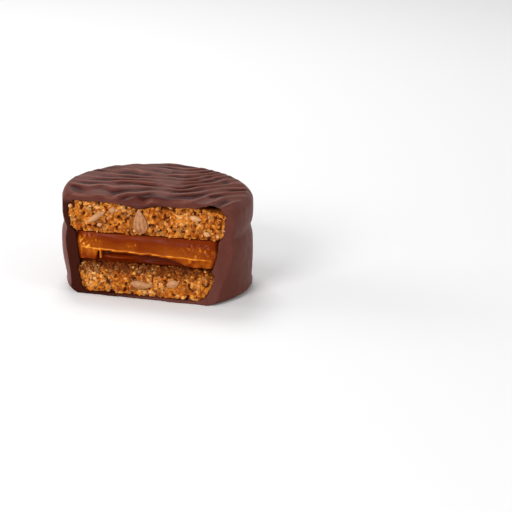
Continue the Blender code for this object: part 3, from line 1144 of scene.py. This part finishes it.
def surface_where(
    name: str, obj: bpy.types.Object, wanted: Callable[[Vector, Vector], bool]
) -> bpy.types.Object:
    """Copies some faces of an object as a surface of its own.

    Args:
        name: the surface's name.
        obj: the object that the faces come from.
        wanted: says by centre and normal whether a face is copied.

    Returns:
        The linked surface.
    """
    bm = bmesh.new()
    bm.from_mesh(obj.data)
    bm.normal_update()
    unwanted = [f for f in bm.faces if not wanted(f.calc_center_median(), f.normal)]
    bmesh.ops.delete(bm, geom=unwanted, context="FACES")
    mesh = bpy.data.meshes.new(name)
    bm.to_mesh(mesh)
    bm.free()
    return link_object(name, mesh)


# ---------------------------------------------------------------- the biscuits


@dataclass
class Biscuit:
    """One seeded biscuit: a round layer with a craggy broken front and loose grains on it."""

    form: CookieForm
    node: str
    low: float
    high: float
    seed: float
    worn_edge: float = 0.0
    worn_from: float = 0.0
    setback: float = 0.4 * MM
    edge: float = 2.2 * MM
    lump_size: float = 1.1 * MM
    lump_height: float = 0.34 * MM
    crag_heights: tuple[tuple[float, float], ...] = (
        (2.6 * MM, 0.5 * MM),
        (1.2 * MM, 0.42 * MM),
        (0.6 * MM, 0.26 * MM),
        (0.36 * MM, 0.16 * MM),
    )
    pore_size: float = 1.3 * MM
    pore_depth: float = 0.8 * MM
    grain: float = 0.16 * MM

    def crags(self, x: float, z: float) -> tuple[float, float, float]:
        """Relief of the broken crumb at a place on its face.

        Args:
            x: place across the face.
            z: height on the face.

        Returns:
            How far the crumb stands out, its share of painted shade from 0 to 1, highest in pores, between
            lumps and in low crags, and its tint.
        """
        bent = 0.5 * MM * wave_noise(x, self.seed + 5.0, z, 0.9 * MM)
        lump = Vector(((x + bent) / self.lump_size, self.seed, (z - bent) / self.lump_size))
        near, cells = noise.voronoi(lump)
        tint = 0.5 + 0.5 * noise.cell(cells[0] * 7.3)
        height = self.lump_height * (1.0 - 1.6 * near[0])
        crag = 0.0
        for number, (size, rise) in enumerate(self.crag_heights):
            wave = rise * wave_noise(x, self.seed + 3.0 * number, z, size)
            height += wave
            if number > 0:
                crag += wave
        hole = wave_noise(x + 0.01, self.seed + 9.0, z, self.pore_size)
        pore = smooth_step(0.2, 0.46, hole)
        height -= self.pore_depth * pore
        gap = smooth_step(0.34, 0.66, near[0])
        low = smooth_step(0.02 * MM, 0.4 * MM, -crag)
        # The second value is painted shade: full in pores, less between lumps and in low crags.
        return height, min(1.0, pore + 0.5 * gap + 0.7 * low), tint

    def front(self, x: float, z: float) -> float:
        """Broken face of the biscuit."""
        worn = 0.0
        if self.worn_edge > 0.0:
            worn = self.worn_edge * smooth_step(self.worn_from, self.high, z)
        return self.form.knife_reach(x, z) - self.setback - worn + self.crags(x, z)[0]

    def layer(self) -> bpy.types.Object:
        """The whole round layer before the cut."""
        form = self.form
        low = self.low + form.clearance / 2.0
        high = self.high - form.clearance / 2.0
        radius = form.biscuit_radius - form.clearance
        points = [(0.0, high)]
        points += straight((0.0, high), (radius - self.edge, high), 24)
        points += quarter((radius - self.edge, high - self.edge), self.edge, 90.0, 0.0, 8)
        points += quarter((radius - self.edge, low + self.edge), self.edge, 0.0, -90.0, 8)
        points.append((0.0, low))
        solid = turned(self.node + "_body", points, 180)
        for vertex in solid.data.vertices:
            vertex.co = self.shaped(vertex.co)
        return solid

    def shaped(self, point: Vector) -> Vector:
        """Moves a point of the true layer to where it lies in the settled cookie."""
        return self.form.inside(point)

    def grain_top(self, x: float) -> float:
        """Height over which no grains stick to the broken face."""
        return self.high

    def build(self, material: bpy.types.Material) -> bpy.types.Object:
        """Makes the biscuit and puts it in place of its CAD node.

        Args:
            material: the crumb finish.

        Returns:
            The finished biscuit.
        """
        body = self.layer()
        spare = 2.0 * MM
        knife = knife_block("knife", self.front, self.low - spare, self.high + spare, self.grain)
        cut_away(body, knife)
        tints = []
        recess_shades = []
        top_darkenings = []
        for vertex in body.data.vertices:
            x, y, z = vertex.co
            stand, pit, tint = self.crags(x, z)
            front = abs(y + self.front(x, z)) < 0.3 * MM
            # Faces off the broken front get a fixed share of tint and of painted shade.
            tints.append(0.55 + 0.45 * (tint - 0.5) if front else 0.3)
            recess_shades.append(pit if front else 0.3)
            top_darkenings.append(self.stain(x, y, z))
        set_values(body.data, "tint", tints)
        set_values(body.data, "pit", recess_shades)
        set_values(body.data, "stain", top_darkenings)
        dress(body, material)
        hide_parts(self.node)
        return body

    def stain(self, x: float, y: float, z: float) -> float:
        """How far the crumb is darkened towards the dark top colour, from 0 to 1."""
        return 0.0

    def host(self, body: bpy.types.Object) -> bpy.types.Object:
        """The part of the broken face that grains stick to."""

        def wanted(center: Vector, normal: Vector) -> bool:
            in_front = abs(center.y + self.front(center.x, center.z)) < 0.35 * MM
            return in_front and center.z < self.grain_top(center.x)

        return surface_where(self.node + "_host", body, wanted)


@dataclass
class UpperBiscuit(Biscuit):
    """The biscuit over the caramel, whose top gives way to the hanging edge of the top coat."""

    coat: ChocolateCoat | None = None
    end_drop: float = 1.0 * MM

    def shaped(self, point: Vector) -> Vector:
        """Settles a point, lowered under the top coat's hanging edge and at its right end."""
        place = point.copy()
        if self.coat is not None and point.z > self.high - 0.6 * self.edge:
            place.z -= self.coat.flap(point.x, point.y)
            place.z -= self.end_drop * smooth_step(15.0 * MM, 20.0 * MM, point.x)
        return self.form.inside(place)

    def grain_top(self, x: float) -> float:
        """Height over which no grains stick to the broken face, under the top coat's edge."""
        drop = self.coat.flap_drop * self.coat.hang(x) if self.coat is not None else 0.0
        return self.high + self.form.upper_wedge * x - math.tan(self.form.top_tilt) * x - drop - 0.6 * MM


@dataclass
class LowerBiscuit(Biscuit):
    """The biscuit under the caramel, darker along its crumbled upper edge."""

    def stain(self, x: float, y: float, z: float) -> float:
        """Darker crumb at the top, fading into golden crumb below."""
        ragged = 0.7 * MM * wave_noise(x, self.seed, z, 2.0 * MM)
        return 0.9 * smooth_step(self.worn_from + 0.2 * MM, self.high - 0.9 * MM, z + ragged)

    def ledge(self, body: bpy.types.Object) -> bpy.types.Object:
        """The exposed upper edge and top, where darker crumbs lie."""

        def wanted(center: Vector, normal: Vector) -> bool:
            behind = center.y + self.form.knife_reach(center.x, center.z)
            return center.z > self.worn_from + 0.3 * MM and behind < 4.5 * MM

        return surface_where(self.node + "_ledge", body, wanted)


# ---------------------------------------------------------------- the caramel


@dataclass(frozen=True)
class Drip:
    """A short thread of caramel that hangs from the ridge."""

    x: float
    length: float
    width: float


@dataclass
class CaramelFilling:
    """The caramel layer: a glossy slope, a drawn-out ridge with drips, and a hollow under it."""

    form: CookieForm
    setback: float = 0.4 * MM
    lip_height: float = 13.6 * MM
    lip_slope: float = 0.052
    lip_reach: float = 1.2 * MM
    lip_thickness: float = 0.55 * MM
    undercut: float = 3.0 * MM
    left_lump_bottom: float = 10.9 * MM
    right_lump_bottom: float = 10.2 * MM
    left_end: float = -21.3 * MM
    right_end: float = 21.2 * MM
    end_round: float = 2.6 * MM
    edge: float = 1.6 * MM
    grain: float = 0.16 * MM
    drips: tuple[Drip, ...] = (
        Drip(-13.6 * MM, 3.9 * MM, 0.46 * MM),
        Drip(-9.6 * MM, 0.8 * MM, 0.6 * MM),
        Drip(-4.5 * MM, 0.5 * MM, 0.9 * MM),
        Drip(2.2 * MM, 0.7 * MM, 0.7 * MM),
        Drip(13.4 * MM, 1.5 * MM, 0.5 * MM),
    )

    def ridge(self, x: float) -> float:
        """Height of the ridge at x."""
        ragged = 0.22 * MM * wave_noise(x, 0.0, 0.0, 3.2 * MM)
        ragged += 0.1 * MM * wave_noise(x, 5.0, 0.0, 1.1 * MM)
        return self.lip_height - self.lip_slope * x + ragged

    def lump_bottom(self, x: float) -> float:
        """Height at which the caramel under the ridge steps back into the hollow."""
        thin = self.ridge(x) - self.lip_thickness
        left = 1.0 - smooth_step(-15.0 * MM, -14.2 * MM, x)
        right = smooth_step(5.0 * MM, 15.0 * MM, x)
        ragged = 0.35 * MM * wave_noise(x, 8.0, 0.0, 2.4 * MM)
        bottom = thin + (self.left_lump_bottom + ragged - thin) * left
        return bottom + (self.right_lump_bottom + ragged - bottom) * right

    def drip(self, x: float, z: float) -> float:
        """1 inside a drip, 0 away from all of them."""
        share = 0.0
        for drip in self.drips:
            below = (self.ridge(drip.x) - z) / drip.length
            if -0.2 < below < 1.0:
                narrow = drip.width * (1.0 - 0.45 * max(0.0, below))
                share = max(share, bell(x, drip.x, narrow) * (1.0 - smooth_step(0.75, 1.0, below)))
        return share

    def sparkle(self, x: float, z: float) -> float:
        """1 where the knife left the caramel crumpled, near both ends, and 0 elsewhere; the crumpled
        places also get painted glints.
        """
        left = bell(x, -18.0 * MM, 3.0 * MM) * bell(z, 15.4 * MM, 2.0 * MM)
        right = bell(x, 15.5 * MM, 3.2 * MM) * bell(z, 14.8 * MM, 1.5 * MM)
        return min(1.0, left + right + 0.7 * bell(x, -4.0 * MM, 1.2 * MM) * bell(z, 15.4 * MM, 0.9 * MM))

    def front(self, x: float, z: float) -> float:
        """Face of the caramel."""
        form = self.form
        edge = form.knife_reach(x, z)
        ridge = self.ridge(x)
        if z >= ridge:
            slope = smooth_step(ridge, form.filling_top, z)
            reach = self.lip_reach * (1.0 - slope) - self.setback * slope
            reach -= 0.35 * MM * math.sin(math.pi * min(1.0, (z - ridge) / (form.filling_top - ridge)))
        else:
            bottom = self.lump_bottom(x)
            under = smooth_step(-0.15 * MM, 0.75 * MM, bottom - z)
            sag = smooth_step(0.0, ridge - form.lower_top, ridge - z)
            shelf = 1.2 * MM * bell(z, 11.3 * MM, 0.8 * MM) * bell(x, -8.5 * MM, 5.0 * MM)
            shelf += 0.6 * MM * bell(z, 10.2 * MM, 0.6 * MM) * bell(x, 3.0 * MM, 5.0 * MM)
            hollow = (self.undercut - shelf) * under * (1.0 - self.drip(x, z))
            reach = self.lip_reach * (1.0 - 0.7 * sag) - hollow
        crumple = self.sparkle(x, z)
        reach += 0.5 * MM * crumple * wave_noise(x, 1.0, z, 0.9 * MM)
        reach += 0.12 * MM * wave_noise(x * 0.5, 2.0, z, 2.6 * MM)
        left = min(1.0, max(0.0, (x - self.left_end) / self.end_round))
        right = min(1.0, max(0.0, (self.right_end - x) / self.end_round))
        round_off = 2.0 - math.sqrt(1.0 - (1.0 - left) ** 2) - math.sqrt(1.0 - (1.0 - right) ** 2)
        return edge + reach - 2.2 * MM * round_off

    def ridge_light(self, x: float) -> float:
        """How strong the painted highlight along the ridge is at x."""
        return 0.42 + 0.35 * wave_noise(x, 11.0, 0.0, 2.2 * MM)

    def glow(self, x: float, z: float) -> float:
        """Painted light on the caramel: painted shade in the hollow and near the upper biscuit, painted
        highlights on the ridge and drips, and painted glints where it is crumpled.
        """
        ridge = self.ridge(x)
        if z >= ridge:
            fall = (z - ridge) / (self.form.filling_top - ridge)
            # Painted shade near the upper biscuit, lighter towards the ridge, with a painted highlight
            # along the ridge.
            level = 0.33 + 0.14 * (1.0 - smooth_step(0.1, 0.9, fall))
            level += self.ridge_light(x) * bell(z, ridge, 0.17 * MM)
        else:
            under = smooth_step(-0.1 * MM, 0.4 * MM, self.lump_bottom(x) - z)
            solid = 0.44 + self.ridge_light(x) * bell(z, ridge, 0.17 * MM)
            solid += 0.24 * wave_noise(x, 3.0, z, 1.8 * MM)
            shelf = bell(z, 11.4 * MM, 0.7 * MM) * bell(x, -8.5 * MM, 5.0 * MM)
            # Painted shade in the hollow under the ridge, less on the shelf.
            level = solid + (0.06 + 0.3 * shelf - solid) * under
            # A painted highlight down each drip.
            level += self.drip(x, z) * (0.3 + 0.5 * under)
        # Painted glints where the caramel is crumpled.
        glint = smooth_step(0.2, 0.5, wave_noise(x, 1.0, z, 0.75 * MM))
        return level + self.sparkle(x, z) * (0.08 + 0.62 * glint)

    def build(self, material: bpy.types.Material) -> bpy.types.Object:
        """Makes the caramel and puts it in place of its CAD node.

        Args:
            material: the caramel finish.

        Returns:
            The finished caramel.
        """
        form = self.form
        low = form.lower_top + form.clearance / 2.0
        high = form.filling_top - form.clearance / 2.0
        radius = form.filling_radius - form.clearance
        points = [(0.0, high)]
        points += quarter((radius - self.edge, high - self.edge), self.edge, 90.0, 0.0, 8)
        points += quarter((radius - self.edge, low + self.edge), self.edge, 0.0, -90.0, 8)
        points.append((0.0, low))
        body = turned("caramel_body", points, 240)
        for vertex in body.data.vertices:
            vertex.co = form.inside(vertex.co)
        spare = 2.0 * MM
        cut_away(body, knife_block("knife", self.front, low - spare, high + spare, self.grain))
        soften_creases(body, math.radians(45.0), 0.3 * MM, 4)
        values = []
        for vertex in body.data.vertices:
            values.append(max(0.0, min(1.0, self.glow(vertex.co.x, vertex.co.z))))
        set_values(body.data, "glow", values)
        dress(body, material)
        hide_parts("caramel_filling")
        return body


# ---------------------------------------------------------------- the seeds


@dataclass(frozen=True)
class Kernel:
    """One sunflower kernel in a broken face: its place, half sizes and lean.

    Proud is how far it stands out, tip how pointed it is and toast how brown.
    """

    x: float
    z: float
    half_length: float
    half_width: float
    half_depth: float
    lean: float
    proud: float
    tip: float = 1.0
    toast: float = 1.0


@dataclass
class SunflowerKernels:
    """The hulled kernels that show in a biscuit's broken face."""

    biscuit: Biscuit
    kernels: tuple[Kernel, ...]
    rings: int = 26
    steps: int = 28

    def kernel_mesh(self, kernel: Kernel) -> tuple[list[Vector], list[tuple[int, ...]], list[float]]:
        """Makes one teardrop-shaped kernel.

        Args:
            kernel: its place, sizes and lean.

        Returns:
            Its points, its faces and its points' streak values.
        """
        center = Vector(
            (kernel.x, -self.biscuit.form.knife_reach(kernel.x, kernel.z) - kernel.proud, kernel.z)
        )
        turn = Matrix.Rotation(kernel.lean, 3, "Y")
        points = [turn @ Vector((0.0, 0.0, -kernel.half_length)) + center]
        streaks = [0.5 * kernel.toast]
        for ring in range(1, self.rings):
            t = ring / self.rings
            bulge = math.sin(math.pi * t ** (1.0 / (1.0 + 0.32 * kernel.tip))) ** 0.72
            bulge *= 1.0 - 0.3 * kernel.tip * t
            z = kernel.half_length * (2.0 * t - 1.0)
            for step in range(self.steps):
                angle = 2.0 * math.pi * step / self.steps
                ridge = 1.0 + 0.04 * math.cos(2.0 * angle) + 0.03 * math.cos(5.0 * angle + 3.0 * t)
                x = kernel.half_width * bulge * ridge * math.cos(angle)
                y = kernel.half_depth * bulge * ridge * math.sin(angle)
                x += 0.12 * kernel.half_width * math.sin(2.2 * t + kernel.x / MM)
                points.append(turn @ Vector((x, y, z)) + center)
                line = 0.5 + 0.5 * math.cos(9.0 * angle + 1.5 * math.sin(5.0 * t))
                streaks.append(kernel.toast * (0.5 + 0.4 * line))
        points.append(turn @ Vector((0.0, 0.0, kernel.half_length)) + center)
        streaks.append(0.9 * kernel.toast)
        faces: list[tuple[int, ...]] = []
        last = len(points) - 1
        for step in range(self.steps):
            after = (step + 1) % self.steps
            faces.append((0, 1 + after, 1 + step))
            top = 1 + (self.rings - 2) * self.steps
            faces.append((last, top + step, top + after))
            for ring in range(self.rings - 2):
                a = 1 + ring * self.steps
                b = a + self.steps
                faces.append((a + step, a + after, b + after, b + step))
        return points, faces, streaks

    def build(self, name: str, material: bpy.types.Material) -> bpy.types.Object:
        """Makes all the kernels as one piece.

        Args:
            name: the piece's name.
            material: the kernel finish.

        Returns:
            The finished kernels.
        """
        points: list[Vector] = []
        faces: list[tuple[int, ...]] = []
        streaks: list[float] = []
        for kernel in self.kernels:
            more_points, more_faces, more_streaks = self.kernel_mesh(kernel)
            start = len(points)
            points += more_points
            streaks += more_streaks
            faces += [tuple(index + start for index in face) for face in more_faces]
        piece = mesh_object(name, points, faces)
        set_values(piece.data, "streak", streaks)
        dress(piece, material)
        return piece


# ---------------------------------------------------------------- the studio


@dataclass(frozen=True)
class Lamp:
    """A soft square lamp: its place round the cookie, its size and its power."""

    name: str
    azimuth: float
    elevation: float
    distance: float
    size: float
    power: float


@dataclass
class Studio:
    """Plain pale floor, soft white lamps, white surroundings and the camera."""

    target: Vector
    azimuth: float = math.radians(12.5)
    elevation: float = math.radians(18.7)
    distance: float = 610.8 * MM
    lens: float = 140.0
    roll: float = math.radians(0.9)
    aim_right: float = 30.4 * MM
    aim_up: float = 7.4 * MM
    world_light: float = 0.4
    lamps: tuple[Lamp, ...] = (
        Lamp("back_lamp", 203.0, 54.0, 0.7, 0.25, 1.8),
        Lamp("front_lamp", 338.0, 30.0, 0.7, 0.25, 2.6),
        Lamp("left_lamp", 264.0, 14.0, 0.7, 0.4, 2.4),
        Lamp("right_lamp", 75.0, 18.0, 0.7, 0.4, 1.0),
    )

    def view_axes(self) -> tuple[Vector, Vector, Vector]:
        """Right, up and backward directions of the level view."""
        a = self.azimuth
        e = self.elevation
        back = Vector((math.sin(a) * math.cos(e), -math.cos(a) * math.cos(e), math.sin(e)))
        right = Vector((math.cos(a), math.sin(a), 0.0))
        return right, back.cross(right), back

    def add_camera(self) -> None:
        """Stands the camera in front, a little above, aimed beside the cookie."""
        right, up, back = self.view_axes()
        data = bpy.data.cameras.new("camera")
        data.lens = self.lens
        data.sensor_width = 36.0
        data.clip_start = 0.01
        camera = bpy.data.objects.new("camera", data)
        bpy.context.scene.collection.objects.link(camera)
        place = self.target + back * self.distance
        tilt = Matrix.Rotation(self.roll, 3, back)
        aim = self.target + tilt @ (right * self.aim_right + up * self.aim_up)
        axis = (place - aim).normalized()
        side = (tilt @ up).cross(axis).normalized()
        top = axis.cross(side)
        matrix = Matrix((side, top, axis)).transposed().to_4x4()
        matrix.translation = place
        camera.matrix_world = matrix
        bpy.context.scene.camera = camera

    def add_lamps(self) -> None:
        """Hangs each lamp round the cookie and turns it to face the cookie."""
        for lamp in self.lamps:
            data = bpy.data.lights.new(lamp.name, "AREA")
            data.shape = "SQUARE"
            data.size = lamp.size
            data.energy = lamp.power
            a = math.radians(lamp.azimuth)
            e = math.radians(lamp.elevation)
            away = Vector((math.sin(a) * math.cos(e), -math.cos(a) * math.cos(e), math.sin(e)))
            obj = bpy.data.objects.new(lamp.name, data)
            bpy.context.scene.collection.objects.link(obj)
            obj.location = self.target + away * lamp.distance
            obj.rotation_euler = away.to_track_quat("Z", "Y").to_euler()

    def add_world(self) -> None:
        """White surroundings that light the cookie at a plain level."""
        world = bpy.data.worlds.new("white_surroundings")
        bpy.context.scene.world = world
        world.use_nodes = True
        tree = world.node_tree
        tree.nodes.clear()
        ray = add_node(tree, "ShaderNodeLightPath")
        seen = math_node(tree, "MAXIMUM", (ray, "Is Camera Ray"), (ray, "Is Transmission Ray"))
        shown = math_node(tree, "MAXIMUM", (seen, "Value"), (ray, "Is Glossy Ray"))
        strength = add_node(
            tree,
            "ShaderNodeMapRange",
            {"To Min": self.world_light, "To Max": 1.0},
            {"Value": (shown, "Value")},
        )
        light = add_node(
            tree,
            "ShaderNodeBackground",
            {"Color": (1.0, 1.0, 1.0, 1.0)},
            {"Strength": (strength, "Result")},
        )
        add_node(tree, "ShaderNodeOutputWorld", {}, {"Surface": (light, "Background")})

    def add_floor(self) -> None:
        """A wide pale floor under the cookie."""
        signs = ((-1.0, -1.0), (1.0, -1.0), (1.0, 1.0), (-1.0, 1.0))
        corners = [Vector((x * FLOOR_HALF, y * FLOOR_HALF, 0.0)) for x, y in signs]
        floor = mesh_object("floor", corners, [(0, 1, 2, 3)])
        material, tree = new_material("pale_matte_board")
        add_surface(
            tree,
            {"Base Color": srgb("#f6f6f6"), "Roughness": 0.9, "Specular IOR Level": 0.1},
            {},
        )
        floor.data.materials.append(material)

    def build(self) -> None:
        """Sets up the floor, the light and the camera."""
        self.add_floor()
        self.add_world()
        self.add_lamps()
        self.add_camera()
        bpy.context.scene.view_settings.view_transform = "Standard"


UPPER_KERNELS = (
    Kernel(-2.2 * MM, 22.5 * MM, 3.8 * MM, 2.35 * MM, 1.3 * MM, math.radians(-12.0), 0.4 * MM, 1.0, 1.8),
    Kernel(-15.8 * MM, 22.7 * MM, 3.3 * MM, 1.0 * MM, 1.3 * MM, math.radians(56.0), 0.3 * MM, 0.7, 1.0),
    Kernel(14.4 * MM, 24.8 * MM, 1.8 * MM, 0.9 * MM, 0.9 * MM, math.radians(105.0), 0.3 * MM, 0.4, 0.1),
    Kernel(-11.1 * MM, 25.0 * MM, 1.3 * MM, 0.9 * MM, 0.8 * MM, math.radians(75.0), 0.2 * MM, 0.4, 1.2),
    Kernel(17.9 * MM, 20.3 * MM, 1.1 * MM, 0.8 * MM, 0.8 * MM, math.radians(100.0), 0.3 * MM, 0.2, 0.1),
    Kernel(-14.6 * MM, 20.7 * MM, 0.8 * MM, 0.6 * MM, 0.6 * MM, math.radians(70.0), 0.3 * MM, 0.2, 0.5),
    Kernel(-24.3 * MM, 25.2 * MM, 0.7 * MM, 0.55 * MM, 0.6 * MM, math.radians(20.0), 0.5 * MM, 0.2, 0.0),
    Kernel(21.2 * MM, 19.9 * MM, 0.7 * MM, 0.5 * MM, 0.6 * MM, math.radians(5.0), 0.5 * MM, 0.2, 0.0),
)
LOWER_KERNELS = (
    Kernel(-0.7 * MM, 4.3 * MM, 3.5 * MM, 1.3 * MM, 1.2 * MM, math.radians(91.0), 0.2 * MM, 0.5, 1.4),
    Kernel(8.7 * MM, 5.1 * MM, 2.0 * MM, 1.3 * MM, 1.0 * MM, math.radians(80.0), 0.2 * MM, 0.2, 1.0),
)


def main() -> None:
    """Builds the cookie's pieces in order, then the studio round them."""
    form = CookieForm()
    crumb = BakedCrumb().make()
    kernel = ToastedKernel().make()
    coat = ChocolateCoat(form)
    coat.build(SatinChocolate().make())
    CaramelFilling(form).build(MilkCaramel().make())

    upper = UpperBiscuit(form, "upper_biscuit", form.filling_top, form.upper_top, 1.7, coat=coat)
    body = upper.build(crumb)
    grains = CrumbScatter(1.6e6, 0.25 * MM, 0.85 * MM, CrumbKind.GOLDEN, 3)
    grains.build("upper_grains", upper.host(body), crumb)
    SunflowerKernels(upper, UPPER_KERNELS).build("upper_kernels", kernel)

    lower = LowerBiscuit(
        form,
        "lower_biscuit",
        form.base_coat,
        form.lower_top,
        8.3,
        worn_edge=1.6 * MM,
        worn_from=6.4 * MM,
    )
    body = lower.build(crumb)
    ledge = lower.ledge(body)
    grains = CrumbScatter(1.6e6, 0.25 * MM, 0.8 * MM, CrumbKind.GOLDEN, 8)
    grains.build("lower_grains", lower.host(body), crumb)
    darkened = CrumbScatter(1.4e6, 0.4 * MM, 1.1 * MM, CrumbKind.DARK_TOP, 21)
    darkened.build("darkened_grains", ledge, crumb)
    SunflowerKernels(lower, LOWER_KERNELS).build("lower_kernels", kernel)

    Studio(Vector((0.0, 0.0, 0.0))).build()


if __name__ == "__main__":
    main()
